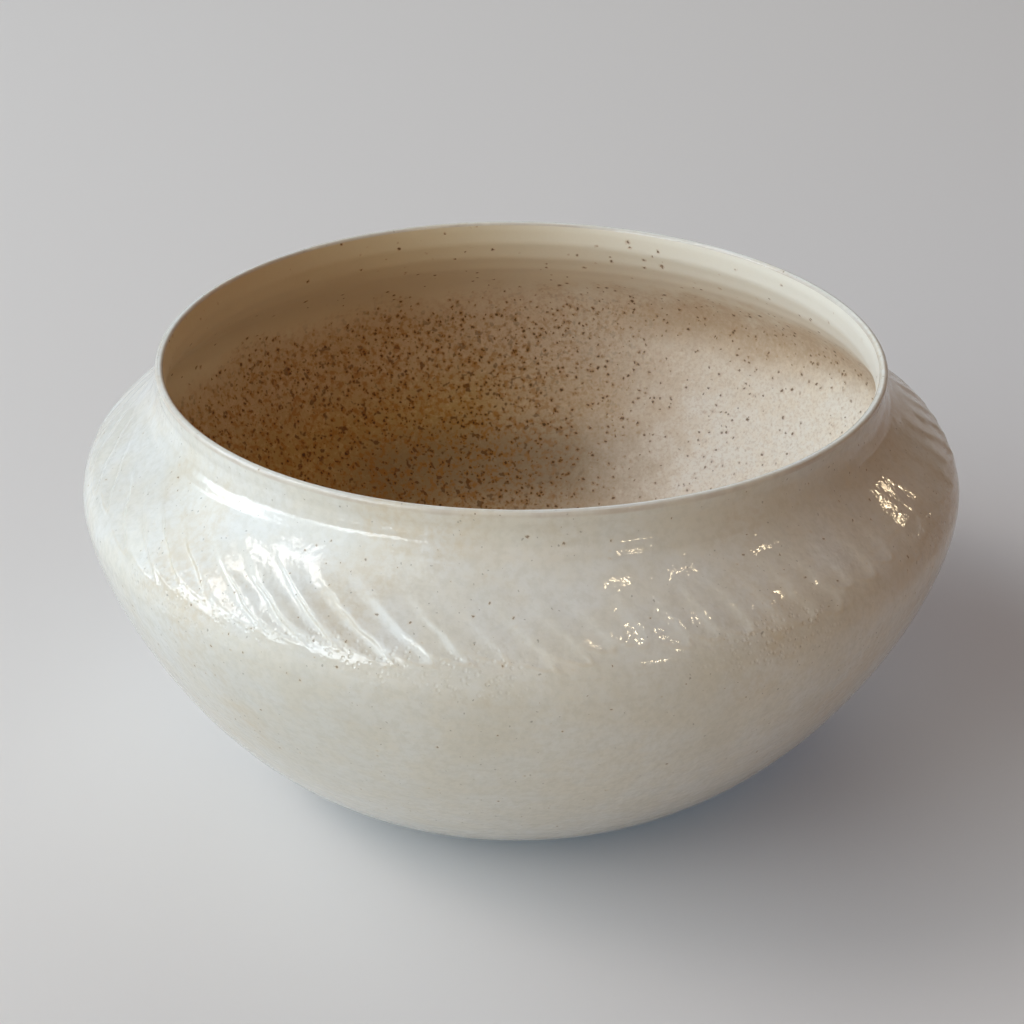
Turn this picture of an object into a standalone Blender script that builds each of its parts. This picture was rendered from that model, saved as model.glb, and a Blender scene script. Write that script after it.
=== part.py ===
# Stoneware serving bowl: a thrown clay body with a glaze coat inside and another outside.
# The bowl is turned about +Z and stands on the ring under its foot, at z = 0.
# The outer coat runs on over the lip, and the inner coat meets it at the lip's inner edge.
# The shoulder carries a band of slanting flutes, pressed into the clay under the outer coat.

import math

import bmesh
import bpy

# Overall form, to the outer face of the finished bowl
MOUTH_RADIUS = 0.113        # outer edge of the lip
BELLY_RADIUS = 0.140        # widest circle
FOOT_RADIUS = 0.066         # outer edge of the foot ring
BELLY_HEIGHT = 0.099        # floor to the widest circle
SHOULDER_HEIGHT = 0.042     # widest circle to the top of the lip

# Shape of the curves between those circles
FOOT_RISE = math.radians(8.0)     # how steeply the wall leaves the foot
LIP_FLARE = math.radians(7.5)     # how far the neck leans out towards the lip
LOWER_SPREAD = 0.56               # pull of the foot's heading, as a share of foot to belly
BELLY_DROP = 0.22                 # pull of the upright below the belly, as a share of its height
BELLY_CLIMB = 0.43                # pull of the upright above the belly, as a share of the shoulder
NECK_CLIMB = 0.49                 # pull of the lip's heading, as a share of the shoulder
FLOOR_LEVEL = 0.70                # share of the floor that is almost level
FLOOR_BEND = 0.28                 # share of the floor that runs on from the wall

# Clay
CLAY_WALL = 0.0034          # clay at the widest circle
LIP_CORE = 0.0009           # clay between the two coats at the lip
FOOT_WALL = 0.0105          # clay across the corner above the foot ring
BASE_THICKNESS = 0.0064     # clay in the middle of the floor
FOOT_RECESS = 0.003         # depth of the hollow inside the foot ring
FOOT_RING_WIDTH = 0.008     # from the ring's outer edge to its inner edge
FOOT_CHAMFER = 0.0008       # broken edges of the face that the bowl stands on
RING_BATTER = 0.5           # how far the ring's inner side leans, for its depth

# Glaze
GLAZE = 0.0005              # thickness of each coat
GLAZE_GAP = 0.0003          # clearance between a coat and the clay it lies on
BARE_RISE = 0.0015          # bare clay above the foot ring, below the outer coat

# Flutes
FLUTE_COUNT = 72
FLUTE_DEPTH = 0.0008        # how far a flute's middle lies below its ridges
FLUTE_START = 0.0170        # top of the lip to the flutes' upper ends
FLUTE_FALL = 0.023          # height of the fluted band
FLUTE_SLANT = math.radians(55.0)  # slope of a flute, measured from level
FLUTE_FADE = 0.006          # height over which a flute runs out at either end

# Fineness of the faceted solids
LOWER_ROWS = 8
SHOULDER_ROWS = 7
FLOOR_ROWS = 3
CROWN_ROWS = 6
ROW_CROWDING = 1.2          # above 1, rows lie closer together towards the belly

coat_seat = GLAZE + GLAZE_GAP
lip_width = LIP_CORE + 2.0 * coat_seat
crown_radius = lip_width / 2.0
belly_wall = CLAY_WALL + 2.0 * coat_seat
foot_wall = FOOT_WALL + 2.0 * coat_seat
height = BELLY_HEIGHT + SHOULDER_HEIGHT
crown_base = height - crown_radius * (1.0 + math.sin(LIP_FLARE))
floor_top = FOOT_RECESS + BASE_THICKNESS + coat_seat
flute_top = height - FLUTE_START
flute_bottom = flute_top - FLUTE_FALL


def bezier(points, t):
    """The place and the unit heading on a cubic curve of four (radius, height) points."""
    s = 1.0 - t
    place = [s**3 * a + 3 * s * s * t * b + 3 * s * t * t * c + t**3 * d
             for a, b, c, d in zip(*points)]
    run = [s * s * (b - a) + 2 * s * t * (c - b) + t * t * (d - c)
           for a, b, c, d in zip(*points)]
    length = math.hypot(*run)
    return place, (run[0] / length, run[1] / length)


def beside(points, t, distance):
    """The point at a distance to the left of the curve, seen along its run."""
    (radius, rise), (along, up) = bezier(points, t)
    return max(radius - up * distance, 0.0), rise + along * distance


def share_at_height(points, level):
    """The parameter at which a curve that only climbs reaches a height."""
    low, high = 0.0, 1.0
    for _ in range(48):
        middle = (low + high) / 2.0
        if bezier(points, middle)[0][1] < level:
            low = middle
        else:
            high = middle
    return low


def outer_curves():
    """The finished outside: foot to belly, then belly to the base of the lip's crown."""
    belly = (BELLY_RADIUS, BELLY_HEIGHT)
    spread = LOWER_SPREAD * (BELLY_RADIUS - FOOT_RADIUS)
    shoulder = crown_base - BELLY_HEIGHT
    lower = [(FOOT_RADIUS, FOOT_RECESS),
             (FOOT_RADIUS + spread * math.cos(FOOT_RISE), FOOT_RECESS + spread * math.sin(FOOT_RISE)),
             (BELLY_RADIUS, BELLY_HEIGHT - BELLY_DROP * BELLY_HEIGHT),
             belly]
    neck = NECK_CLIMB * shoulder
    upper = [belly,
             (BELLY_RADIUS, BELLY_HEIGHT + BELLY_CLIMB * shoulder),
             (MOUTH_RADIUS - neck * math.sin(LIP_FLARE), crown_base - neck * math.cos(LIP_FLARE)),
             (MOUTH_RADIUS, crown_base)]
    return lower, upper


def floor_curve():
    """The finished floor, from the foot of the wall's inner face in to the middle."""
    lower, _ = outer_curves()
    _, (along, up) = bezier(lower, 0.0)
    radius, rise = beside(lower, 0.0, foot_wall)
    bend = FLOOR_BEND * radius
    return [(radius, rise),
            (radius - bend * along, rise - bend * up),
            (FLOOR_LEVEL * radius, floor_top),
            (0.0, floor_top)]


def smooth(share):
    """A rise from 0 to 1 that starts and ends level."""
    share = min(max(share, 0.0), 1.0)
    return share * share * (3.0 - 2.0 * share)


def wall_depth(away, end_wall):
    """The finished wall's thickness, away from the belly by a share of the way to an end."""
    return belly_wall + (end_wall - belly_wall) * smooth(away)


def belly_steps(rows):
    """Shares of the way from the belly to an end of its curve, closer together at first."""
    return [(k / rows) ** ROW_CROWDING for k in range(rows + 1)]


def glaze_line():
    """Where the outer coat's seat starts, as a share of the lower curve."""
    lower, _ = outer_curves()
    return share_at_height(lower, FOOT_RECESS + BARE_RISE)


def outside_line(depth, gap=0.0):
    """Points up the outside and over the lip, at a depth below the finished face.

    The gap is left above the ledge that the outer coat stands on."""
    lower, upper = outer_curves()
    line = glaze_line()
    margin = 0.25 / LOWER_ROWS
    start = share_at_height(lower, bezier(lower, line)[0][1] + gap * bezier(lower, line)[1][1])
    shares = [1.0 - t for t in belly_steps(LOWER_ROWS) if 1.0 - t > line + margin]
    side = [beside(lower, t, depth) for t in [start] + shares[::-1]]
    side += [beside(upper, t, depth) for t in belly_steps(SHOULDER_ROWS)[1:]]
    middle_radius, middle_rise = beside(upper, 1.0, crown_radius)
    radius = crown_radius - depth
    turns = [math.pi * (k + 1) / CROWN_ROWS - LIP_FLARE for k in range(CROWN_ROWS)]
    return side + [(middle_radius + radius * math.cos(a), middle_rise + radius * math.sin(a))
                   for a in turns]


def inside_line(cover, gap=0.0):
    """Points down the inside, at a cover behind the finished face.

    The gap is left below the edge of the outer coat, which ends at the lip's inner side."""
    lower, upper = outer_curves()
    floor = floor_curve()
    upper_shares = belly_steps(SHOULDER_ROWS)[::-1]
    upper_shares[0] = share_at_height(upper, crown_base - gap * math.cos(LIP_FLARE))
    line = [beside(upper, t, wall_depth(t, lip_width) - cover) for t in upper_shares]
    line += [beside(lower, 1.0 - t, wall_depth(t, foot_wall) - cover)
             for t in belly_steps(LOWER_ROWS)[1:]]
    return line + [beside(floor, (k + 1) / FLOOR_ROWS, cover) for k in range(FLOOR_ROWS)]


def flute_weight(level):
    """How deep a flute is at a height: 0 outside the band, 1 along its middle."""
    return smooth(min(flute_top - level, level - flute_bottom) / FLUTE_FADE)


def flute_turn(level):
    """How far a flute has turned round the bowl at a height, from its upper end."""
    lower, upper = outer_curves()
    (top_radius, _), _ = bezier(upper, share_at_height(upper, flute_top))
    slope_length = math.hypot(BELLY_RADIUS - top_radius, FLUTE_FALL)
    mean_radius = (BELLY_RADIUS + top_radius) / 2.0
    whole_turn = slope_length / math.tan(FLUTE_SLANT) / mean_radius
    share = min(max((flute_top - level) / FLUTE_FALL, 0.0), 1.0)
    return whole_turn * share


def turned_solid(name, outline, colour, roughness, fluted_side=()):
    """Turn a closed outline about +Z, press the flutes into one side, and lean them over."""
    bm = bmesh.new()
    fluted = bm.verts.layers.int.new("fluted")
    corners = [bm.verts.new((radius, 0.0, rise)) for radius, rise in outline]
    for corner, point in zip(corners, outline):
        corner[fluted] = int(point in fluted_side and flute_weight(point[1]) > 0.0)
    rim = [bm.edges.new((a, b)) for a, b in zip(corners, corners[1:])]
    if outline[0][0] > 0.0:
        rim.append(bm.edges.new((corners[-1], corners[0])))
    bmesh.ops.spin(bm, geom=corners + rim, cent=(0, 0, 0), axis=(0, 0, 1), dvec=(0, 0, 0),
                   angle=2.0 * math.pi, steps=FLUTE_COUNT, use_merge=True)
    bmesh.ops.remove_doubles(bm, verts=bm.verts, dist=0.00001)

    ridges = [edge for edge in bm.edges
              if edge.verts[0][fluted] and edge.verts[1][fluted]
              and abs(edge.verts[0].co.z - edge.verts[1].co.z) < 0.000001]
    split = bmesh.ops.subdivide_edges(bm, edges=ridges, cuts=1)
    for valley in [item for item in split["geom_inner"] if isinstance(item, bmesh.types.BMVert)]:
        chord = math.hypot(valley.co.x, valley.co.y)
        radius = chord / math.cos(math.pi / FLUTE_COUNT)
        sunk = radius - FLUTE_DEPTH * flute_weight(valley.co.z)
        valley.co.x *= sunk / chord
        valley.co.y *= sunk / chord
    for vert in bm.verts:
        turn = flute_turn(vert.co.z)
        x, y = vert.co.x, vert.co.y
        vert.co.x = x * math.cos(turn) - y * math.sin(turn)
        vert.co.y = x * math.sin(turn) + y * math.cos(turn)

    bmesh.ops.triangulate(bm, faces=bm.faces, quad_method="SHORT_EDGE", ngon_method="BEAUTY")
    bmesh.ops.recalc_face_normals(bm, faces=bm.faces)
    mesh = bpy.data.meshes.new(name)
    bm.to_mesh(mesh)
    bm.free()
    mesh.shade_smooth()
    mesh.set_sharp_from_angle(angle=math.radians(40.0))
    mesh.materials.append(plain_material(name, colour, roughness))
    solid = bpy.data.objects.new(name, mesh)
    bpy.context.scene.collection.objects.link(solid)
    return solid


def plain_material(name, colour, roughness):
    """A fired surface of one colour."""
    material = bpy.data.materials.new(name + "_finish")
    material.use_nodes = True
    shader = material.node_tree.nodes["Principled BSDF"]
    shader.inputs["Base Color"].default_value = (*colour, 1.0)
    shader.inputs["Roughness"].default_value = roughness
    shader.inputs["Metallic"].default_value = 0.0
    return material


def clay_body():
    """Foot ring, bare band, a ledge for the outer coat, the wall round the lip, and the floor."""
    lower, _ = outer_curves()
    ring_inner = FOOT_RADIUS - FOOT_RING_WIDTH
    foot = [(0.0, FOOT_RECESS),
            (ring_inner - RING_BATTER * FOOT_RECESS, FOOT_RECESS),
            (ring_inner - RING_BATTER * FOOT_CHAMFER, FOOT_CHAMFER),
            (ring_inner + FOOT_CHAMFER, 0.0),
            (FOOT_RADIUS - FOOT_CHAMFER, 0.0),
            (FOOT_RADIUS, FOOT_CHAMFER)]
    bare_band = [beside(lower, 0.0, 0.0), beside(lower, glaze_line(), 0.0)]
    outside = outside_line(coat_seat)
    outline = foot + bare_band + outside + inside_line(coat_seat)[1:]
    return turned_solid("clay_body", outline, (0.56, 0.45, 0.34), 0.85, fluted_side=outside)


def outer_glaze():
    """The coat outside, from just above the foot up the wall and over the lip."""
    outline = outside_line(0.0, gap=GLAZE_GAP) + outside_line(GLAZE, gap=GLAZE_GAP)[::-1]
    return turned_solid("outer_glaze", outline, (0.78, 0.75, 0.69), 0.25, fluted_side=outline)


def inner_glaze():
    """The coat inside, from the lip's inner edge down over the whole floor."""
    outline = inside_line(GLAZE, gap=GLAZE_GAP)[::-1] + inside_line(0.0, gap=GLAZE_GAP)
    return turned_solid("inner_glaze", outline, (0.60, 0.49, 0.36), 0.3)


for old in list(bpy.data.objects):
    bpy.data.objects.remove(old, do_unlink=True)

clay_body()
outer_glaze()
inner_glaze()
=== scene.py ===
import math
import random
from bisect import bisect_right

import bmesh
import bpy
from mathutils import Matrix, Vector, noise


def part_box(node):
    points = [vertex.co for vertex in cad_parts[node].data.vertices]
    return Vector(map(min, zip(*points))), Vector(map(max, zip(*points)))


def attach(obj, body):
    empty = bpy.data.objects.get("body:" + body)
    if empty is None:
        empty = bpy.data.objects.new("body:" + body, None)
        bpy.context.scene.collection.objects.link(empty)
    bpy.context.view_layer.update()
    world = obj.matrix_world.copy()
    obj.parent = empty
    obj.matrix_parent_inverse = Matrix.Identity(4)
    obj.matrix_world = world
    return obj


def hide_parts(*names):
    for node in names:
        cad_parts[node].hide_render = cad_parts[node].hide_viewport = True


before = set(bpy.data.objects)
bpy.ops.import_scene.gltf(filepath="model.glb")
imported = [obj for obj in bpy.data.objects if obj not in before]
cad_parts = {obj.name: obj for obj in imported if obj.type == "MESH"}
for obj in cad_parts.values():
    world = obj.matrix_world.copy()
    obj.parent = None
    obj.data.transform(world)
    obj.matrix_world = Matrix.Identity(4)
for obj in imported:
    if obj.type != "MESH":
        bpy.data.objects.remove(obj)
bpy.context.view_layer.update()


# Clay body: one wall of buff stoneware, thrown on the wheel, with a low foot ring turned under it.
# Only the foot is bare. The flutes were pressed into the shoulder with a thumb while the clay was
# soft, each one drawn down to the right and ended with a round dent.
MOUTH_RADIUS = 0.113
FOOT_RADIUS = 0.066
BELLY_HEIGHT = 0.099
FOOT_RECESS = 0.003
LIP_WIDTH = 0.0025
BELLY_WALL = 0.005
FOOT_WALL = 0.0121
FLOOR_TOP = 0.0102
FOOT_RISE = math.radians(8.0)
LIP_FLARE = math.radians(7.5)
FOOT_PULL = 0.56
BELLY_PULL = 0.78
SHOULDER_PULL = 0.43
NECK_PULL = 0.49
CORNER_PULL = 0.28
FLOOR_PULL = 0.70
OUTER_CROWDING = 1.5
INNER_CROWDING = 1.2
COAT_SEAT = 0.0008
CLAY_COLUMNS = 360
SECTORS = 12
ON_AXIS = 0.000001
MERGE_WITHIN = 0.000005
HARD_CORNER = math.radians(50.0)
LIP_EDGE_FROM = 0.7

# The flutes, from the top of the shoulder down, and how they vary round the bowl.
FLUTES = 70
FLUTE_DEPTH = 0.00100
FLUTE_TOP = 0.1245
FLUTE_END = 0.1084
FLUTE_END_LENGTH = 0.00384
DEEPEST_ABOVE = 0.003
FLUTE_TAIL = 0.006
TAIL_SHARE = 0.10
TAIL_FROM = (0.9, 1.6)
FLUTE_SKEW = 1.8
PUSHED_CLAY = 0.00028
PUSHED_FROM = (0.2, 1.0)
PUSHED_AT = 1.15
PUSHED_SPREAD = 0.28
ALONG_RADIUS = 1.25
FIRST_FLUTE = math.radians(227.1)
PITCH_SPREAD = (0.90, 1.10)
DEPTH_SPREAD = (0.60, 1.15)
END_SPREAD = (-0.0024, 0.0020)
SWAY_DEGREES = (-0.5, 0.5)
SWAY_WAVES = 300.0
FLUTE_WANDER = math.radians(1.0)
WANDER_WAVES = 350.0
FAINTEST_AT = math.radians(292.0)
FAINT_REACH = (0.54, 0.68)
FAINT_SHARE = 0.70
SWING_TO = math.radians(205.0)
RIPPLE_TO = math.radians(210.0)
PITCH_SWING = 0.10
PITCH_RIPPLE = 0.16
LEAN = math.radians(8.8)
LEAN_SWING = math.radians(5.0)
LEAN_RIPPLE = math.radians(4.2)
LEAN_FROM = 0.080

# How far the bowl is out of true, as shares of its radius or in metres.
OVAL = 0.0010
OVAL_TURN = 1.1
THREE_SIDED = 0.0007
THREE_TURN = -0.7
FOOT_SHIFT = 0.0020
MOUTH_SHIFT = 0.0014
LIP_PULL = 0.027
PULLED_AT = math.radians(-22.0)
LIP_SAG = 0.0008
LIP_WAVE = 0.00025
WAVE_TURN = 0.4
PULLED_SAG = 0.0007
SAGGED_AT = math.radians(-45.0)

belly_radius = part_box("outer_glaze")[1].x
rim_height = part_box("outer_glaze")[1].z
crown_radius = LIP_WIDTH / 2.0
crown_base = rim_height - crown_radius * (1.0 + math.sin(LIP_FLARE))
foot_pull = FOOT_PULL * (belly_radius - FOOT_RADIUS)
shoulder = crown_base - BELLY_HEIGHT
neck_pull = NECK_PULL * shoulder
lower_curve = [Vector((FOOT_RADIUS, FOOT_RECESS)),
               Vector((FOOT_RADIUS + foot_pull * math.cos(FOOT_RISE),
                       FOOT_RECESS + foot_pull * math.sin(FOOT_RISE))),
               Vector((belly_radius, BELLY_PULL * BELLY_HEIGHT)),
               Vector((belly_radius, BELLY_HEIGHT))]
upper_curve = [Vector((belly_radius, BELLY_HEIGHT)),
               Vector((belly_radius, BELLY_HEIGHT + SHOULDER_PULL * shoulder)),
               Vector((MOUTH_RADIUS - neck_pull * math.sin(LIP_FLARE),
                       crown_base - neck_pull * math.cos(LIP_FLARE))),
               Vector((MOUTH_RADIUS, crown_base))]


def beside(curve, share, depth):
    """The point (radius, height) at a depth to the left of a cubic curve."""
    a, b, c, d = curve
    rest = 1.0 - share
    place = (rest**3 * a + 3.0 * rest * rest * share * b
             + 3.0 * rest * share * share * c + share**3 * d)
    run = rest * rest * (b - a) + 2.0 * rest * share * (c - b) + share * share * (d - c)
    run.normalize()
    return Vector((max(place.x - depth * run.y, 0.0), place.y + depth * run.x))


def outside(depth, start, lower_rows, upper_rows, crown_rows):
    """Points up the outside from a share of the lower curve, and over the lip."""
    points = []
    for k in range(lower_rows, 0, -1):
        below = (1.0 - start) * (k / lower_rows) ** OUTER_CROWDING
        points.append(beside(lower_curve, 1.0 - below, depth))
    points += [beside(upper_curve, k / upper_rows, depth) for k in range(upper_rows)]
    middle = beside(upper_curve, 1.0, crown_radius)
    for k in range(crown_rows + 1):
        turn = math.pi * k / crown_rows - LIP_FLARE
        points.append(middle + (crown_radius - depth) * Vector((math.cos(turn), math.sin(turn))))
    return points


def wall(away, end_wall):
    """The wall's thickness at a share of the way from the belly to an end."""
    return BELLY_WALL + (end_wall - BELLY_WALL) * away * away * (3.0 - 2.0 * away)


def inside(cover, upper_rows, lower_rows, floor_rows):
    """Points down the inside from the lip's inner edge, at a cover behind the glazed face."""
    points = []
    for k in range(upper_rows):
        above = 1.0 - k / upper_rows
        points.append(beside(upper_curve, above, wall(above, LIP_WIDTH) - cover))
    for k in range(lower_rows):
        below = (k / lower_rows) ** INNER_CROWDING
        points.append(beside(lower_curve, 1.0 - below, wall(below, FOOT_WALL) - cover))
    corner = beside(lower_curve, 0.0, FOOT_WALL)
    heading = (lower_curve[1] - lower_curve[0]).normalized()
    floor = [corner, corner - CORNER_PULL * corner.x * heading,
             Vector((FLOOR_PULL * corner.x, FLOOR_TOP)), Vector((0.0, FLOOR_TOP))]
    return points + [beside(floor, k / floor_rows, cover) for k in range(floor_rows + 1)]


def step(low, high, value):
    """A smooth rise from 0 at low to 1 at high."""
    share = min(max((value - low) / (high - low), 0.0), 1.0)
    return share * share * (3.0 - 2.0 * share)


def swing(angle, once, twice):
    """A value that swings once and twice round the bowl, as the potter's hand was moved."""
    return once * math.cos(angle - SWING_TO) + twice * math.cos(2.0 * (angle - RIPPLE_TO))


flute_dice = random.Random(11)
pitches = [flute_dice.uniform(*PITCH_SPREAD)
           * (1.0 + swing(FIRST_FLUTE + 2.0 * math.pi * k / FLUTES, PITCH_SWING, PITCH_RIPPLE))
           for k in range(FLUTES)]
flute_edges = [2.0 * math.pi * sum(pitches[:k]) / sum(pitches) for k in range(FLUTES)]
flute_widths = [2.0 * math.pi * pitch / sum(pitches) for pitch in pitches]
flute_depths = [FLUTE_DEPTH * flute_dice.uniform(*DEPTH_SPREAD)
                * (1.0 - FAINT_SHARE * step(*FAINT_REACH, math.cos(FIRST_FLUTE + edge - FAINTEST_AT)))
                for edge in flute_edges]
flute_ends = [FLUTE_END + flute_dice.uniform(*END_SPREAD) for _ in range(FLUTES)]
flute_sways = [math.radians(flute_dice.uniform(*SWAY_DEGREES)) for _ in range(FLUTES)]


def leaned(angle, rise):
    """A column's angle round the bowl at a height: the flutes lean more on one side."""
    lean = LEAN + swing(angle, LEAN_SWING, LEAN_RIPPLE)
    return angle + lean * (FLUTE_TOP - min(max(rise, LEAN_FROM), FLUTE_TOP)) / (FLUTE_TOP - FLUTE_END)


def flute(angle, rise):
    """How deep the shoulder is pressed in at a column's own angle and a height.

    Each scoop starts shallow at its left, is deepest right of its middle and ends at a crisp ridge.
    Past its end the clay is pushed up in a low roll, and a faint tail runs on below.
    """
    if not FLUTE_END - FLUTE_TAIL < rise < FLUTE_TOP:
        return 0.0
    angle = (angle - FIRST_FLUTE) % (2.0 * math.pi)
    k = bisect_right(flute_edges, angle) - 1
    wander = FLUTE_WANDER * noise.noise(Vector((9.0 * k, 0.0, WANDER_WAVES * rise)))
    angle = (angle + wander + flute_sways[k] * math.sin(rise * SWAY_WAVES)) % (2.0 * math.pi)
    k = bisect_right(flute_edges, angle) - 1
    across = 2.0 * ((angle - flute_edges[k]) / flute_widths[k]) ** FLUTE_SKEW - 1.0
    past_end = max((flute_ends[k] + FLUTE_END_LENGTH - rise) / FLUTE_END_LENGTH, 0.0)
    reach = across * across + past_end * past_end
    drawn = step(FLUTE_TOP, FLUTE_END + DEEPEST_ABOVE, rise)
    dent = flute_depths[k] * drawn * max(1.0 - reach, 0.0)
    roll = math.exp(-((reach - PUSHED_AT) / PUSHED_SPREAD) ** 2)
    pushed = PUSHED_CLAY * step(*PUSHED_FROM, past_end) * roll
    fading = step(FLUTE_END - FLUTE_TAIL, FLUTE_END, rise)
    tail = TAIL_SHARE * flute_depths[k] * (1.0 - across * across) * fading
    tail *= step(*TAIL_FROM, past_end)
    return dent - pushed + tail


def hand_thrown(place):
    """Move a true-turned point to where it lies on the real bowl, a little out of true."""
    angle = math.atan2(place.y, place.x)
    below = max(1.0 - place.z / BELLY_HEIGHT, 0.0)
    above = max((place.z - BELLY_HEIGHT) / (rim_height - BELLY_HEIGHT), 0.0)
    swell = 1.0 + OVAL * math.cos(2.0 * angle + OVAL_TURN)
    swell += THREE_SIDED * math.cos(3.0 * angle + THREE_TURN)
    swell += LIP_PULL * above**3 * max(math.cos(angle - PULLED_AT), 0.0) ** 4
    sag = LIP_SAG + PULLED_SAG * max(math.cos(angle - SAGGED_AT), 0.0) ** 4
    sag += LIP_WAVE * math.sin(2.0 * angle + WAVE_TURN)
    shift = FOOT_SHIFT * below * below + MOUTH_SHIFT * above * above
    return Vector((place.x * swell - shift, place.y * swell, place.z - above**4 * sag))


def turned(name, outline, columns, outer=(), seen=(), marks=None):
    """Spin a ring of (radius, height) points about the wheel's axis.

    The outer points are fluted, and the seen ones are given the marks of throwing. One sector is
    spun and then copied round, which is far quicker than one long spin.
    """
    bm = bmesh.new()
    outer_face = bm.verts.layers.float.new("outer_face")
    seen_face = bm.verts.layers.float.new("seen_face")
    hollow = bm.verts.layers.float.new("hollow")
    lip_edge = bm.verts.layers.float.new("lip_edge")
    verts = [bm.verts.new((point.x, 0.0, point.y)) for point in outline]
    for k, vert in enumerate(verts):
        vert[outer_face] = float(k in outer)
        vert[seen_face] = float(k in seen)
        off_crest = abs(vert.co.x - MOUTH_RADIUS + crown_radius) / crown_radius
        vert[lip_edge] = float(off_crest > LIP_EDGE_FROM and vert.co.z > crown_base)
    edges = [bm.edges.new((first, second)) for first, second in zip(verts, verts[1:] + verts[:1])
             if max(first.co.x, second.co.x) > ON_AXIS]
    sector = 2.0 * math.pi / SECTORS
    bmesh.ops.spin(bm, geom=verts + edges, cent=(0, 0, 0), axis=(0, 0, 1), dvec=(0, 0, 0),
                   angle=sector, steps=columns // SECTORS, use_merge=False)
    bmesh.ops.spin(bm, geom=bm.verts[:] + bm.edges[:] + bm.faces[:], cent=(0, 0, 0), axis=(0, 0, 1),
                   dvec=(0, 0, 0), angle=sector * (SECTORS - 1), steps=SECTORS - 1,
                   use_duplicate=True)
    bmesh.ops.remove_doubles(bm, verts=bm.verts, dist=MERGE_WITHIN)
    for vert in bm.verts:
        angle = math.atan2(vert.co.y, vert.co.x)
        radius = math.hypot(vert.co.x, vert.co.y)
        pressed = flute(angle, vert.co.z) if vert[outer_face] > 0.5 else 0.0
        vert[hollow] = pressed / FLUTE_DEPTH
        turn = leaned(angle, vert.co.z)
        radius -= ALONG_RADIUS * pressed
        if vert[seen_face] > 0.5:
            radius -= marks(turn, vert.co.z)
        vert.co = hand_thrown(Vector((radius * math.cos(turn), radius * math.sin(turn), vert.co.z)))
    bmesh.ops.recalc_face_normals(bm, faces=bm.faces)
    mesh = bpy.data.meshes.new(name)
    bm.to_mesh(mesh)
    bm.free()
    mesh.shade_smooth()
    mesh.set_sharp_from_angle(angle=HARD_CORNER)
    piece = bpy.data.objects.new(name, mesh)
    bpy.context.scene.collection.objects.link(piece)
    return piece


def add(tree, kind, inputs=None, **settings):
    """Add a shader node to a tree. An input that is a socket is linked, and any other is set."""
    made = tree.nodes.new("ShaderNode" + kind)
    for name, value in settings.items():
        setattr(made, name, value)
    for key, value in (inputs or {}).items():
        if isinstance(value, bpy.types.NodeSocket):
            tree.links.new(value, made.inputs[key])
        else:
            made.inputs[key].default_value = value
    return made


def maths(tree, operation, first, second):
    """Work out one operation on two values, each a socket or a number."""
    return add(tree, "Math", {0: first, 1: second}, operation=operation).outputs[0]


def times(tree, first, second):
    return maths(tree, "MULTIPLY", first, second)


def plus(tree, first, second):
    return maths(tree, "ADD", first, second)


def span(tree, value, low, high, to_low=0.0, to_high=1.0):
    """Map a value from one span to another along a smooth step, and hold it at the ends."""
    return add(tree, "MapRange", {"Value": value, "From Min": low, "From Max": high,
                                  "To Min": to_low, "To Max": to_high},
               interpolation_type="SMOOTHSTEP").outputs["Result"]


def blend(tree, factor, first, second):
    """Mix two colours, each a socket or a colour of three values."""
    inputs = {"Factor": factor}
    for key, colour in ((6, first), (7, second)):
        inputs[key] = colour if isinstance(colour, bpy.types.NodeSocket) else (*colour, 1.0)
    return add(tree, "Mix", inputs, data_type="RGBA", blend_type="MIX").outputs[2]


def cloud(tree, where, scale, detail=3.0, roughness=0.5, stretch=(1.0, 1.0, 1.0),
          shift=(0.0, 0.0, 0.0)):
    """A noise value over the surface, at a scale in waves per metre."""
    placed = add(tree, "Mapping", {"Vector": where, "Location": shift, "Scale": stretch})
    return add(tree, "TexNoise", {"Vector": placed.outputs[0], "Scale": scale, "Detail": detail,
                                  "Roughness": roughness}).outputs["Fac"]


def new_group(name, inputs, outputs):
    """Make an empty node group with float inputs and outputs beside a place on the surface."""
    group = bpy.data.node_groups.new(name, "ShaderNodeTree")
    group.interface.new_socket("Place", in_out="INPUT", socket_type="NodeSocketVector")
    for title in inputs:
        group.interface.new_socket(title, in_out="INPUT", socket_type="NodeSocketFloat")
    for title in outputs:
        group.interface.new_socket(title, in_out="OUTPUT", socket_type="NodeSocketFloat")
    return group, group.nodes.new("NodeGroupInput"), group.nodes.new("NodeGroupOutput")


def new_material(name, roughness):
    """A fired surface: its material, its tree, its shader and its object coordinates."""
    material = bpy.data.materials.new(name)
    material.use_nodes = True
    tree = material.node_tree
    shader = tree.nodes["Principled BSDF"]
    shader.inputs["Roughness"].default_value = roughness
    where = tree.nodes.new("ShaderNodeTexCoord").outputs["Object"]
    return material, tree, shader, where


# Iron in the clay melts through the glaze as specks, each with a dark middle and a rusty rim.
FRAY_WAVES = 900.0
SPECK_FRAY = 0.0014
SMALLEST_SPECK = 0.35
CORE_EDGE = (1.30, 0.55)
RIM_EDGE = (1.1, 0.35)

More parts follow.
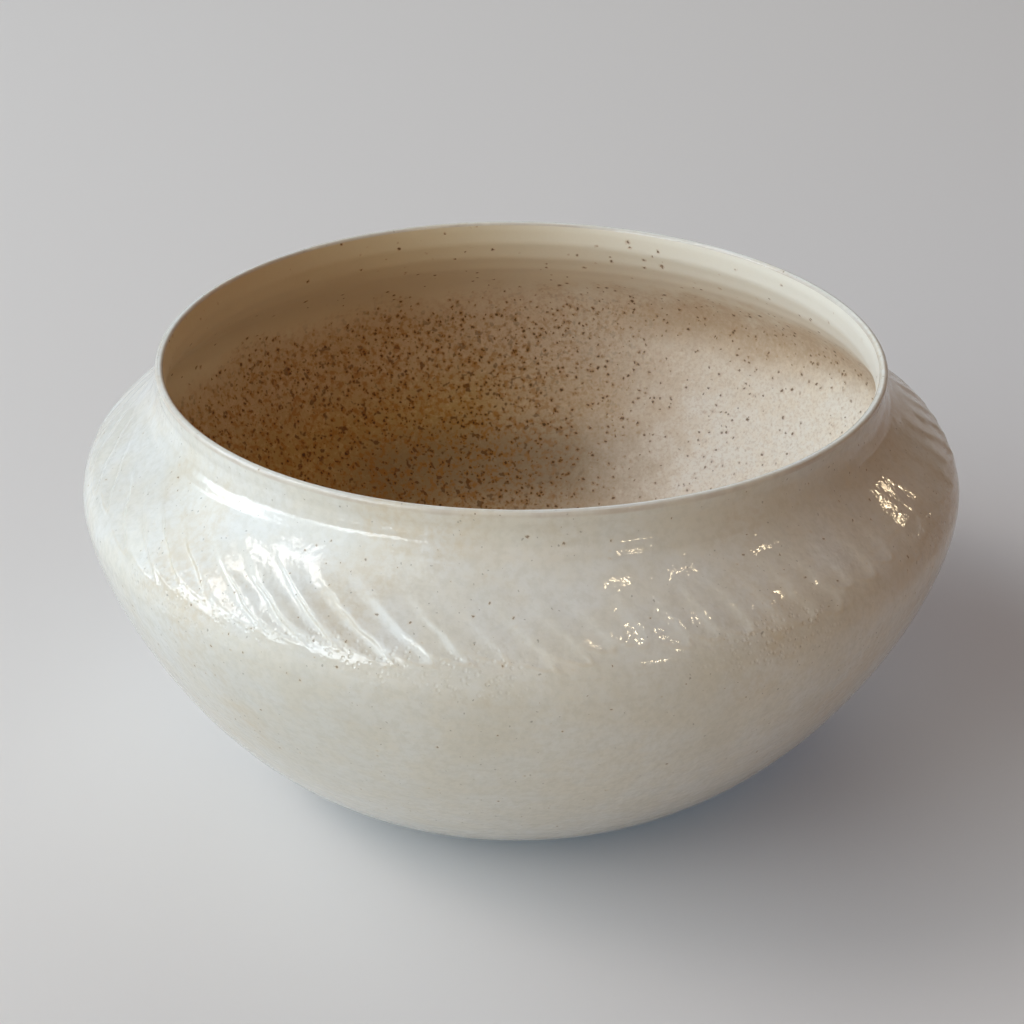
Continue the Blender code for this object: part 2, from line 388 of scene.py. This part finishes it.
speck_group, speck_in, speck_out = new_group(
    "iron_specks", ("Specks per Metre", "Share", "Radius", "Spread"), ("Core", "Rim"))
jitter = add(speck_group, "TexNoise", {"Vector": speck_in.outputs["Place"], "Scale": FRAY_WAVES,
                                       "Detail": 2.0})
nudge = add(speck_group, "VectorMath", {0: jitter.outputs["Color"], 1: (0.5, 0.5, 0.5)},
            operation="SUBTRACT")
nudge = add(speck_group, "VectorMath", {0: nudge.outputs[0], "Scale": SPECK_FRAY},
            operation="SCALE")
nudged = add(speck_group, "VectorMath", {0: speck_in.outputs["Place"], 1: nudge.outputs[0]},
             operation="ADD")
cells = add(speck_group, "TexVoronoi", {"Vector": nudged.outputs[0],
                                        "Scale": speck_in.outputs["Specks per Metre"]})
dice = add(speck_group, "SeparateColor", {0: cells.outputs["Color"]})
there = maths(speck_group, "LESS_THAN", dice.outputs[0], speck_in.outputs["Share"])
size = plus(speck_group, times(speck_group, dice.outputs[1], 1.0 - SMALLEST_SPECK), SMALLEST_SPECK)
size = times(speck_group, size, speck_in.outputs["Radius"])
core = span(speck_group, maths(speck_group, "DIVIDE", cells.outputs["Distance"], size), *CORE_EDGE)
rim_size = times(speck_group, size, speck_in.outputs["Spread"])
rim = span(speck_group, maths(speck_group, "DIVIDE", cells.outputs["Distance"], rim_size), *RIM_EDGE)
speck_group.links.new(times(speck_group, core, there), speck_out.inputs["Core"])
speck_group.links.new(times(speck_group, rim, there), speck_out.inputs["Rim"])


def iron_specks(tree, where, per_metre, radius, rim_spread, share):
    """The masks of the specks' middles and rims.

    A share of the cells holds a speck each, and its radius and rim are measured in cells.
    """
    return add(tree, "Group", {"Place": where, "Specks per Metre": per_metre, "Radius": radius,
                               "Spread": rim_spread, "Share": share}, node_tree=speck_group).outputs


# Fine level lines left by the fingers and the brush as the wheel turned.
LEVEL_STRETCH = (0.02, 0.02, 1.0)

line_group, line_in, line_out = new_group("wheel_lines", ("Lines per Metre",), ("Height",))
flat = add(line_group, "Mapping", {"Vector": line_in.outputs["Place"], "Scale": LEVEL_STRETCH})
lines = add(line_group, "TexNoise", {"Vector": flat.outputs[0],
                                     "Scale": line_in.outputs["Lines per Metre"],
                                     "Detail": 2.0, "Roughness": 0.6})
line_group.links.new(lines.outputs["Fac"], line_out.inputs["Height"])


def wheel_lines(tree, where, per_metre):
    """The height of the level lines at a place."""
    return add(tree, "Group", {"Place": where, "Lines per Metre": per_metre},
               node_tree=line_group).outputs["Height"]


TOASTED_BUFF = (0.50, 0.37, 0.25)
BUFF = (0.64, 0.51, 0.38)
GROG_BROWN = (0.20, 0.12, 0.07)

clay_material, tree, shader, where = new_material("bare_clay", 0.86)
grog = iron_specks(tree, where, 420.0, 0.22, 1.6, 0.35)
toast = cloud(tree, where, 30.0, 4.0)
colour = blend(tree, span(tree, toast, 0.35, 0.70), TOASTED_BUFF, BUFF)
colour = blend(tree, times(tree, grog["Core"], 0.75), colour, GROG_BROWN)
grain = cloud(tree, where, 1600.0, 3.0, 0.7)
rings = wheel_lines(tree, where, 900.0)
height = plus(tree, times(tree, grain, 0.5), rings)
bump = add(tree, "Bump", {"Distance": 0.00025, "Strength": 0.8, "Height": height})
tree.links.new(colour, shader.inputs["Base Color"])
tree.links.new(bump.outputs[0], shader.inputs["Normal"])

# The foot ring, from the middle of the recess out, with soft edges where it stands.
FOOT_RING_WIDTH = 0.008
FOOT_EDGE = 0.0009
RECESS_RADII = (0.0, 0.012, 0.024, 0.036, 0.046)
RECESS_CORNER = ((0.0030, FOOT_RECESS), (0.0022, 0.0026), (0.0012, 0.0014))
RING_INSET = 0.0002
BARE_ROWS = 3
BARE_STEP = 0.012
CLAY_START = 0.05

ring_inner = FOOT_RADIUS - FOOT_RING_WIDTH


def rounded(corner, turn_from, turn_to, rows=4):
    """Points round a soft edge of the foot ring, between two turns in degrees."""
    start, stop = math.radians(turn_from), math.radians(turn_to)
    turns = [start + (stop - start) * k / rows for k in range(rows + 1)]
    return [corner + FOOT_EDGE * Vector((math.cos(turn), math.sin(turn))) for turn in turns]


foot = [Vector((radius, FOOT_RECESS)) for radius in RECESS_RADII]
foot += [Vector((ring_inner - inset, rise)) for inset, rise in RECESS_CORNER]
foot += rounded(Vector((ring_inner + RING_INSET, FOOT_EDGE)), 200.0, 270.0)
foot += rounded(Vector((FOOT_RADIUS - FOOT_EDGE, FOOT_EDGE)), 270.0, 355.0)
bare_band = [beside(lower_curve, BARE_STEP * k, COAT_SEAT * step(0.0, 1.0, k / BARE_ROWS))
             for k in range(1, BARE_ROWS + 1)]
clay_outside = outside(COAT_SEAT, CLAY_START, lower_rows=22, upper_rows=30, crown_rows=8)
clay_inside = inside(COAT_SEAT, upper_rows=16, lower_rows=22, floor_rows=8)
clay_outline = foot + bare_band + clay_outside + clay_inside[1:]
fluted_from = len(foot + bare_band)
clay = turned("clay_wall", clay_outline, CLAY_COLUMNS,
              outer=range(fluted_from, fluted_from + len(clay_outside)))
clay.data.materials.append(clay_material)
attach(clay, "root")
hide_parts("clay_body")


# Outer glaze: a glossy off-white coat over the outside and the lip, dipped, with a soft rolled edge
# above the foot. It thins to peach on the clay pushed up at the flutes' ends and to tan along
# the lip's edges, and is broken by fine iron specks and peach-coloured patches.
OUTER_COLUMNS = 720
GLAZE = 0.0005
GLAZE_LINE = 0.020
BEAD = 0.010
BEAD_SEAT = 0.95 * COAT_SEAT
BEAD_ROWS = 5
LIP_ROWS = 10
PITTED_FROM = (0.096, 0.103)
PITTED_TO = (0.114, 0.107)
OFF_WHITE = (0.80, 0.755, 0.69)
COOL_WHITE = (0.81, 0.79, 0.77)
SHADE_GREY = (0.62, 0.59, 0.53)
PEACH = (0.73, 0.60, 0.44)
BREAK_TAN = (0.60, 0.49, 0.41)
SPECK_BROWN = (0.24, 0.16, 0.10)
SPECK_GREY = (0.32, 0.28, 0.24)

# Throwing marks outside: each kind of ring has a depth and a pitch.
DRUM_RISE = 8.0
COLLAR_FOOT = (0.1235, 0.1280)
COLLAR_TOP = (0.1385, 0.1365)
COLLAR_UNEVEN = 1.2
COLLAR_RINGS = (0.000120, 0.0045)
COLLAR_BROAD_RINGS = (0.000090, 0.0071)
OUTER_RINGS = (0.000035, 0.0062)
OUTER_WAVER = 0.00012
OUTER_RIPPLE = 0.00004


def on_drum(angle, rise):
    """A place on a drum round the wheel's axis, where noise has no seam."""
    return Vector((math.cos(angle), math.sin(angle), DRUM_RISE * rise))


def ring(angle, rise, depth, pitch, start=0.0):
    """How far a spiral mark left by a finger dips, where its turns lie a pitch apart up the wall."""
    return depth * math.sin(2.0 * math.pi * (rise / pitch - angle / (2.0 * math.pi)) + start)


def outer_marks(angle, rise):
    """How far the outside dips where fingers and the rib passed as the wheel turned."""
    around = on_drum(angle, rise)
    collar = step(*COLLAR_FOOT, rise) * step(*COLLAR_TOP, rise)
    collar *= 1.0 + COLLAR_UNEVEN * noise.noise(3.0 * around + Vector((0.0, 5.0, 0.0)))
    marks = collar * ring(angle, rise, *COLLAR_RINGS)
    marks += collar * ring(angle, rise, *COLLAR_BROAD_RINGS, start=1.0)
    marks += (1.0 - collar) * ring(angle, rise, *OUTER_RINGS, start=2.0)
    return marks + OUTER_WAVER * noise.noise(4.0 * around) + OUTER_RIPPLE * noise.noise(14.0 * around)


bead = []
for k in range(BEAD_ROWS):
    quarter = 0.5 * math.pi * k / BEAD_ROWS
    bead.append(beside(lower_curve, GLAZE_LINE + BEAD * (1.0 - math.cos(quarter)),
                       BEAD_SEAT * (1.0 - math.sin(quarter))))
coat_start = GLAZE_LINE + BEAD
coat_face = bead + outside(0.0, coat_start, lower_rows=34, upper_rows=48, crown_rows=12)
coat_back = outside(GLAZE, coat_start, lower_rows=12, upper_rows=17, crown_rows=5)[::-1]
coat_outline = coat_face + coat_back
outer_coat = turned("outer_coat", coat_outline, OUTER_COLUMNS, outer=range(len(coat_outline)),
                    seen=range(BEAD_ROWS, len(coat_face) - LIP_ROWS), marks=outer_marks)

outer_material, tree, shader, where = new_material("outer_glaze_finish", 0.2)
z = add(tree, "SeparateXYZ", {0: where}).outputs["Z"]
hollow = add(tree, "Attribute", attribute_name="hollow").outputs["Fac"]
broad = cloud(tree, where, 16.0, 4.0, 0.55, shift=(0.3, 0.1, 0.0))
middling = cloud(tree, where, 70.0, 4.0, 0.6)
fine = cloud(tree, where, 420.0, 3.0, 0.6)
strokes = wheel_lines(tree, where, 420.0)

# The white clouds from warm to cool under a thin grey veil.
colour = blend(tree, span(tree, middling, 0.35, 0.68), OFF_WHITE, COOL_WHITE)
veil = cloud(tree, where, 34.0, 3.0, 0.6, stretch=(1.0, 1.0, 0.6), shift=(0.2, 0.6, 0.1))
colour = blend(tree, span(tree, veil, 0.42, 0.66, 0.0, 0.20), colour, SHADE_GREY)
colour = blend(tree, span(tree, fine, 0.40, 0.68, 0.0, 0.30), colour, SHADE_GREY)

# Peach shows in broad patches, along some wheel lines and where the clay was pushed up.
patch = times(tree, span(tree, broad, 0.50, 0.66), span(tree, fine, 0.30, 0.70, 0.35, 1.0))
colour = blend(tree, times(tree, patch, 0.55), colour, PEACH)
colour = blend(tree, span(tree, strokes, 0.55, 0.80, 0.0, 0.10), colour, PEACH)
colour = blend(tree, span(tree, hollow, -0.02, -0.20, 0.0, 0.18), colour, PEACH)

# Specks and finer dust, thicker in the peach patches.
specks = iron_specks(tree, where, 300.0, 0.12, 2.2, span(tree, broad, 0.38, 0.58, 0.10, 0.50))
dust = iron_specks(tree, where, 520.0, 0.17, 1.8, span(tree, broad, 0.38, 0.58, 0.12, 0.55))
colour = blend(tree, times(tree, specks["Rim"], 0.35), colour, PEACH)
colour = blend(tree, times(tree, specks["Core"], 0.80), colour, SPECK_BROWN)
colour = blend(tree, times(tree, dust["Core"], 0.60), colour, SPECK_GREY)

lip_mask = span(tree, add(tree, "Attribute", attribute_name="lip_edge").outputs["Fac"], 0.2, 0.9)
lip_mask = times(tree, lip_mask, span(tree, middling, 0.35, 0.65, 0.10, 0.60))
colour = blend(tree, lip_mask, colour, BREAK_TAN)

# The gloss is broken by ripples and pits, and by small craters in a band below the flutes.
gloss = span(tree, fine, 0.35, 0.75, 0.04, 0.13)
ripple = cloud(tree, where, 150.0, 2.0, 0.5)
pits = cloud(tree, where, 620.0, 1.0, 0.5)
height = plus(tree, ripple, times(tree, pits, 0.42))
height = plus(tree, height, times(tree, strokes, 0.35))
below_flutes = times(tree, span(tree, z, *PITTED_FROM), span(tree, z, *PITTED_TO))
pitted = times(tree, below_flutes, span(tree, broad, 0.44, 0.56))
cells = add(tree, "TexVoronoi", {"Vector": where, "Scale": 620.0})
crater = times(tree, span(tree, cells.outputs["Distance"], 0.45, 0.15), pitted)
height = maths(tree, "SUBTRACT", height, times(tree, crater, 0.55))
bump = add(tree, "Bump", {"Distance": 0.00022, "Strength": 0.7, "Height": height})
tree.links.new(colour, shader.inputs["Base Color"])
tree.links.new(gloss, shader.inputs["Roughness"])
tree.links.new(bump.outputs[0], shader.inputs["Normal"])
outer_coat.data.materials.append(outer_material)
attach(outer_coat, "root")
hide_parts("outer_glaze")


# Inner glaze: a cream coat poured inside, over the whole floor and up to the lip's inner edge.
# Below the shoulder it is crowded with rust and dark brown specks, most on one side.
# Its left is also painted darker, as shade, and its right paler, as lit.
INNER_COLUMNS = 432
LINING_TOP = 0.9995
AXIS_ROWS = 4
LINING_SHEEN = 0.16
BORDER_LEAN = 0.45
BORDER_WAVER = 0.05
BORDER_FRAY = 0.03
CROWD_TOP = (0.133, 0.111)
CROWD_EDGE = (0.098, 0.112)
CROWD_TILT = 0.09
SMOOTH_NECK = (0.102, 0.116)
NECK_CREAM = (0.76, 0.65, 0.47)
NECK_WHITE = (0.93, 0.88, 0.80)
OCHRE = (0.56, 0.37, 0.14)
TOAST = (0.47, 0.29, 0.09)
PALE = (0.91, 0.79, 0.65)
WARM_WHITE = (0.92, 0.85, 0.76)
TAN = (0.50, 0.32, 0.13)
BLUSH = (0.66, 0.50, 0.36)
STRAW = (0.74, 0.56, 0.30)
SAND = (0.72, 0.56, 0.42)
NECK_SHADOW_CARAMEL = (0.56, 0.39, 0.25)
RUST = (0.42, 0.18, 0.030)
BROWN = (0.30, 0.19, 0.11)
DARK_BROWN = (0.060, 0.024, 0.005)
BURNT = (0.13, 0.045, 0.004)
SHADE_UMBER = (0.26, 0.20, 0.13)

# Throwing marks inside, strongest in the neck.
NECK_FOOT = (0.112, 0.120)
NECK_TOP = (0.1385, 0.1350)
NECK_RINGS = (0.00016, 0.0068)
INNER_RINGS = (0.00006, 0.0090)
INNER_RINGS_FROM = (0.012, 0.030)
INNER_WAVER = 0.00012
INNER_WAVER_TOP = (0.1395, 0.136)


def inner_marks(angle, rise):
    """How far the inside dips along its throwing rings, which are strongest in the neck."""
    around = on_drum(angle, rise)
    neck_share = step(*NECK_FOOT, rise) * step(*NECK_TOP, rise)
    marks = neck_share * ring(angle, rise, *NECK_RINGS)
    marks += (1.0 - neck_share) * step(*INNER_RINGS_FROM, rise) * ring(angle, rise, *INNER_RINGS)
    waver = INNER_WAVER * noise.noise(3.0 * around + Vector((9.0, 0.0, 0.0)))
    return marks + waver * step(*INNER_WAVER_TOP, rise)


def between(tree, share, first, second):
    """A value part of the way from a first to a second one."""
    return add(tree, "Mix", {0: share, 2: first, 3: second}, data_type="FLOAT").outputs[0]


lining_face = inside(0.0, upper_rows=44, lower_rows=36, floor_rows=14)
lining_face[0] = beside(upper_curve, LINING_TOP, LIP_WIDTH)
lining_back = inside(GLAZE, upper_rows=10, lower_rows=12, floor_rows=5)[::-1]
lining_outline = lining_face + lining_back
lining = turned("inner_coat", lining_outline, INNER_COLUMNS,
                seen=range(1, len(lining_face) - AXIS_ROWS), marks=inner_marks)

inner_material, tree, shader, where = new_material("inner_glaze_finish", 0.25)
shader.inputs["Specular IOR Level"].default_value = LINING_SHEEN
x, y, z = add(tree, "SeparateXYZ", {0: where}).outputs
broad = cloud(tree, where, 18.0, 3.0, 0.5, shift=(0.0, 0.2, 0.4))
middling = cloud(tree, where, 95.0, 4.0, 0.65)
fine = cloud(tree, where, 520.0, 3.0, 0.65)
dapple = cloud(tree, where, 430.0, 2.0, 0.6)
burns = cloud(tree, where, 430.0, 1.0, 0.5, shift=(0.7, 0.3, 0.1))
grain = cloud(tree, where, 900.0, 2.0, 0.6)

# How far a place lies across a ragged border, the edge of the painted shade on the inside, which
# leans to the right as the wall rises.
across = maths(tree, "SUBTRACT", x, times(tree, z, BORDER_LEAN))
across = plus(tree, across, times(tree, broad, BORDER_WAVER))
across = plus(tree, across, times(tree, maths(tree, "SUBTRACT", middling, 0.5), BORDER_FRAY))

# The pale side, partly the glaze's own colour and partly painted light, against the darker side in
# painted shade: the painted shadow edge is sharp half way up the wall, softer on the floor and
# towards the shoulder.
side = span(tree, across, 0.010, 0.064)
side = maths(tree, "MAXIMUM", side, span(tree, across, -0.030, 0.035, 0.0, 0.28))
side = between(tree, span(tree, z, 0.060, 0.092), side, span(tree, x, -0.110, 0.150))
side = maths(tree, "MAXIMUM", side, span(tree, z, 0.058, 0.084, 0.0, 0.16))
side = between(tree, span(tree, z, 0.048, 0.026), side, span(tree, across, -0.040, 0.100))
calm = span(tree, across, -0.002, 0.055)

# The crowd of specks: from the floor up to a wavering level, which is higher on the right.
crowd_level = plus(tree, z, times(tree, middling, 0.022))
crowd_level = plus(tree, crowd_level, times(tree, broad, 0.020))
crowd_level = maths(tree, "SUBTRACT", crowd_level, times(tree, x, CROWD_TILT))
crowd = span(tree, crowd_level, *CROWD_TOP)

# The ground: cream in the neck, painted darker on the left as shade and white on the right; below it
# ochre on the crowded side and pale on the other, with sand between, where the ochre is partly
# painted shade and the pale partly painted light.
neck = blend(tree, span(tree, x, -0.07, 0.06), NECK_CREAM, NECK_WHITE)
halfway = times(tree, times(tree, side, maths(tree, "SUBTRACT", 1.0, side)), 2.6)
below_neck = blend(tree, halfway, blend(tree, side, OCHRE, PALE), SAND)
ground = blend(tree, crowd, neck, below_neck)
# The mottles are darker on the side in painted shade and paler on the side in painted light.
mottled = span(tree, crowd, 0.0, 1.0, 0.05, 1.0)
mottle = times(tree, span(tree, middling, 0.35, 0.65, 0.0, 0.5), mottled)
colour = blend(tree, mottle, ground, blend(tree, side, TOAST, WARM_WHITE))
mottle = times(tree, span(tree, grain, 0.46, 0.66, 0.0, 0.42), mottled)
colour = blend(tree, mottle, colour, blend(tree, side, TAN, BLUSH))
mottle = times(tree, span(tree, fine, 0.50, 0.70, 0.0, 0.50), mottled)
colour = blend(tree, mottle, colour, blend(tree, side, STRAW, WARM_WHITE))

# A caramel band, painted shadow of the neck, runs along the crowd's upper edge on the right.
crowd_edge = times(tree, crowd, span(tree, crowd_level, *CROWD_EDGE))
painted_neck_shadow = times(tree, crowd_edge, span(tree, x, 0.020, 0.070, 0.0, 0.85))
painted_neck_shadow = times(tree, painted_neck_shadow, span(tree, fine, 0.30, 0.70, 0.6, 1.0))
colour = blend(tree, painted_neck_shadow, colour, NECK_SHADOW_CARAMEL)

# Painted shade: a darker patch low down on the wall farthest from the front.
painted_shade_patch = times(tree, span(tree, z, 0.026, 0.040), span(tree, z, 0.064, 0.046))
painted_shade_patch = times(tree, painted_shade_patch, span(tree, x, -0.085, -0.045))
painted_shade_patch = times(tree, painted_shade_patch, span(tree, across, 0.060, 0.020))
painted_shade_patch = times(tree, painted_shade_patch, span(tree, y, 0.020, 0.060))
colour = blend(tree, times(tree, painted_shade_patch, 0.60), colour, SHADE_UMBER)

# Rust dapples and burnt marks, fewer on the pale side.
rusty = times(tree, crowd, span(tree, calm, 0.0, 1.0, 0.75, 0.12))
rusty = times(tree, rusty, span(tree, side, 0.05, 0.45, 1.0, 0.45))
colour = blend(tree, times(tree, span(tree, dapple, 0.47, 0.66), rusty), colour, RUST)
burnt = times(tree, crowd, span(tree, calm, 0.0, 1.0, 0.80, 0.10))
burnt = times(tree, burnt, span(tree, side, 0.05, 0.45, 1.0, 0.35))
colour = blend(tree, times(tree, span(tree, burns, 0.58, 0.70), burnt), colour, BURNT)

# Specks of two sizes, in clusters, with a few left over on the neck.
clusters = span(tree, cloud(tree, where, 48.0, 2.0), 0.36, 0.58, 0.50, 1.0)
share = times(tree, crowd, span(tree, calm, 0.0, 1.0, 0.95, 0.32))
share = times(tree, share, clusters)
share = maths(tree, "MAXIMUM", share, times(tree, crowd_edge, 0.55))
share = maths(tree, "MAXIMUM", share, 0.04)
# The specks' middles are paler and their rusty rims weaker on the pale side, partly as painted light.
core_colour = blend(tree, times(tree, side, 0.55), DARK_BROWN, BROWN)
for per_metre, radius, rim_spread in ((330.0, 0.21, 2.3), (500.0, 0.27, 2.2)):
    specks = iron_specks(tree, where, per_metre, radius, rim_spread, share)
    rim_share = times(tree, specks["Rim"], span(tree, side, 0.0, 1.0, 0.65, 0.25))
    colour = blend(tree, rim_share, colour, RUST)
    colour = blend(tree, times(tree, specks["Core"], 0.90), colour, core_colour)

strokes = wheel_lines(tree, where, 360.0)
height = plus(tree, cloud(tree, where, 120.0, 2.0), times(tree, strokes, 0.3))
height = times(tree, height, span(tree, z, *SMOOTH_NECK, 1.0, 0.25))
bump = add(tree, "Bump", {"Distance": 0.00014, "Strength": 0.6, "Height": height})
tree.links.new(colour, shader.inputs["Base Color"])
tree.links.new(span(tree, middling, 0.3, 0.7, 0.28, 0.38), shader.inputs["Roughness"])
tree.links.new(bump.outputs[0], shader.inputs["Normal"])
lining.data.materials.append(inner_material)
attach(lining, "root")
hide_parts("inner_glaze")


# Camera: a lens of medium length in front of the bowl, tipped down so that the view goes over the
# near lip and onto the far wall inside.
CAMERA_DISTANCE = 0.630
CAMERA_PITCH = math.radians(28.36)
AIM = Vector((-0.0028, 0.0, 0.0792))
FOCAL_PIXELS = 1902.0
PICTURE_PIXELS = 1024.0
SENSOR = 36.0

camera_data = bpy.data.cameras.new("camera")
camera_data.sensor_width = SENSOR
camera_data.lens = FOCAL_PIXELS / PICTURE_PIXELS * SENSOR
camera_data.clip_start = 0.01
camera = bpy.data.objects.new("camera", camera_data)
view_from = Vector((0.0, -math.cos(CAMERA_PITCH), math.sin(CAMERA_PITCH)))
camera.location = AIM + CAMERA_DISTANCE * view_from
camera.rotation_euler = (math.pi / 2.0 - CAMERA_PITCH, 0.0, 0.0)
bpy.context.scene.collection.objects.link(camera)
bpy.context.scene.camera = camera


# Floor: one pale sheet that fades into the backdrop behind the bowl. The camera and the gloss see
# it in a colour of its own, and it throws a cooler grey light back on the bowl.
FLOOR_RADIUS = 6.0
FADE_REACH = (1.15, 2.2)
FLOOR_COLOUR = (0.62, 0.63, 0.65)
SEEN_FLOOR = (0.81, 0.703, 0.632)
SHADE_LIFT = (0.005, 0.055, 0.100)
FAR_GREY = (0.50, 0.50, 0.50)
BLACK = (0.0, 0.0, 0.0)

floor_mesh = bmesh.new()
bmesh.ops.create_circle(floor_mesh, cap_ends=True, segments=96, radius=FLOOR_RADIUS)
floor_data = bpy.data.meshes.new("floor")
floor_mesh.to_mesh(floor_data)
floor_mesh.free()
floor = bpy.data.objects.new("floor", floor_data)
bpy.context.scene.collection.objects.link(floor)
floor_material, tree, shader, where = new_material("floor_paper", 0.9)
rays = add(tree, "LightPath").outputs
in_view = maths(tree, "MAXIMUM", rays["Is Camera Ray"], rays["Is Glossy Ray"])
in_view = maths(tree, "MAXIMUM", in_view, rays["Is Transmission Ray"])
away = add(tree, "VectorMath", {0: where}, operation="LENGTH").outputs["Value"]
far = span(tree, away, *FADE_REACH)
seen_colour = blend(tree, far, SEEN_FLOOR, BLACK)
seen_glow = blend(tree, far, SHADE_LIFT, FAR_GREY)
tree.links.new(blend(tree, in_view, FLOOR_COLOUR, seen_colour), shader.inputs["Base Color"])
tree.links.new(blend(tree, in_view, BLACK, seen_glow), shader.inputs["Emission Color"])
shader.inputs["Emission Strength"].default_value = 1.0
shader.inputs["Specular IOR Level"].default_value = 0.2
floor.data.materials.append(floor_material)


# Lights: a wide soft window to the left with two brighter panes, a low one at the left front, a
# weaker one behind and a dim warm fill in front. Five small warm lamps show in the gloss only, and
# the low window is warm on the bowl and cool in its gloss. The room adds a dim warm light.
WINDOW_DISTANCE = 2.6
LAMP_DISTANCE = 1.6
LAMP_WATTS_PER_AREA = 100.0
LAMP_COLOUR = (1.0, 0.80, 0.52)
SOFT_EDGE = 0.25
LIT_MIDDLE = Vector((0.0, 0.0, 0.08))
ROOM_COLOUR = (0.165, 0.079, 0.015)
BACKDROP_COLOUR = (0.27, 0.28, 0.28)


def soft_light(name, bearing, rise, width, height, power, colour, distance=WINDOW_DISTANCE,
               lit=True, mirrored=True):
    """A light at a bearing from the front (right is positive), facing the bowl, dimmed at its edges.

    One that isn't lit shows only in the gloss, and one that isn't mirrored doesn't show there.
    """
    data = bpy.data.lights.new(name, "AREA")
    data.shape = "RECTANGLE"
    data.size = width
    data.size_y = height
    data.energy = power
    data.color = colour
    data.use_nodes = True
    tree = data.node_tree
    over = add(tree, "SeparateXYZ", {0: add(tree, "NewGeometry").outputs["Parametric"]}).outputs
    level = 1.0
    for place in over[:2]:
        edge = maths(tree, "MINIMUM", place, maths(tree, "SUBTRACT", 1.0, place))
        level = times(tree, level, span(tree, edge, 0.0, SOFT_EDGE))
    tree.links.new(level, tree.nodes["Emission"].inputs["Strength"])
    light = bpy.data.objects.new(name, data)
    bearing, rise = math.radians(bearing), math.radians(rise)
    away = Vector((math.sin(bearing) * math.cos(rise), -math.cos(bearing) * math.cos(rise),
                   math.sin(rise)))
    light.location = LIT_MIDDLE + distance * away
    light.rotation_euler = away.to_track_quat("Z", "Y").to_euler()
    light.visible_diffuse = lit
    light.visible_glossy = mirrored
    bpy.context.scene.collection.objects.link(light)


soft_light("window", -75.0, 36.0, 4.8, 3.0, 147.0, (0.62, 0.81, 0.96))
soft_light("window_low_pane", -86.0, 17.0, 1.9, 0.6, 19.0, (0.92, 0.95, 1.0), lit=False)
soft_light("window_high_pane", -84.0, 46.0, 1.0, 0.6, 12.0, (1.0, 0.95, 0.92))
soft_light("low_window", -38.0, 8.0, 2.2, 1.0, 19.0, (1.0, 0.95, 0.50), mirrored=False)
soft_light("low_window_pane", -45.0, 17.0, 1.8, 0.7, 26.0, (0.90, 0.95, 1.0), lit=False)
soft_light("back_window", 180.0, 35.0, 2.0, 2.0, 19.0, (0.80, 0.96, 1.0))
soft_light("warm_fill", 0.0, 32.0, 1.8, 1.8, 2.5, (1.0, 0.40, 0.06))
lamps = (("lamp_near", 32.0, 24.0, 0.10), ("lamp_high", 39.0, 60.0, 0.10),
         ("lamp_high_right", 57.0, 54.0, 0.065), ("lamp_side", 82.0, 43.0, 0.065),
         ("lamp_back", 120.0, 21.0, 0.065))
for name, bearing, rise, width in lamps:
    soft_light(name, bearing, rise, width, width, LAMP_WATTS_PER_AREA * width * width, LAMP_COLOUR,
               distance=LAMP_DISTANCE, lit=False)

world = bpy.data.worlds.new("room")
world.use_nodes = True
bpy.context.scene.world = world
tree = world.node_tree
rays = add(tree, "LightPath").outputs
mirrored = maths(tree, "MAXIMUM", rays["Is Glossy Ray"], rays["Is Transmission Ray"])
room = blend(tree, mirrored, ROOM_COLOUR, BACKDROP_COLOUR)
room = blend(tree, rays["Is Camera Ray"], room, FAR_GREY)
tree.links.new(room, tree.nodes["Background"].inputs["Color"])
bpy.context.scene.view_settings.view_transform = "Standard"
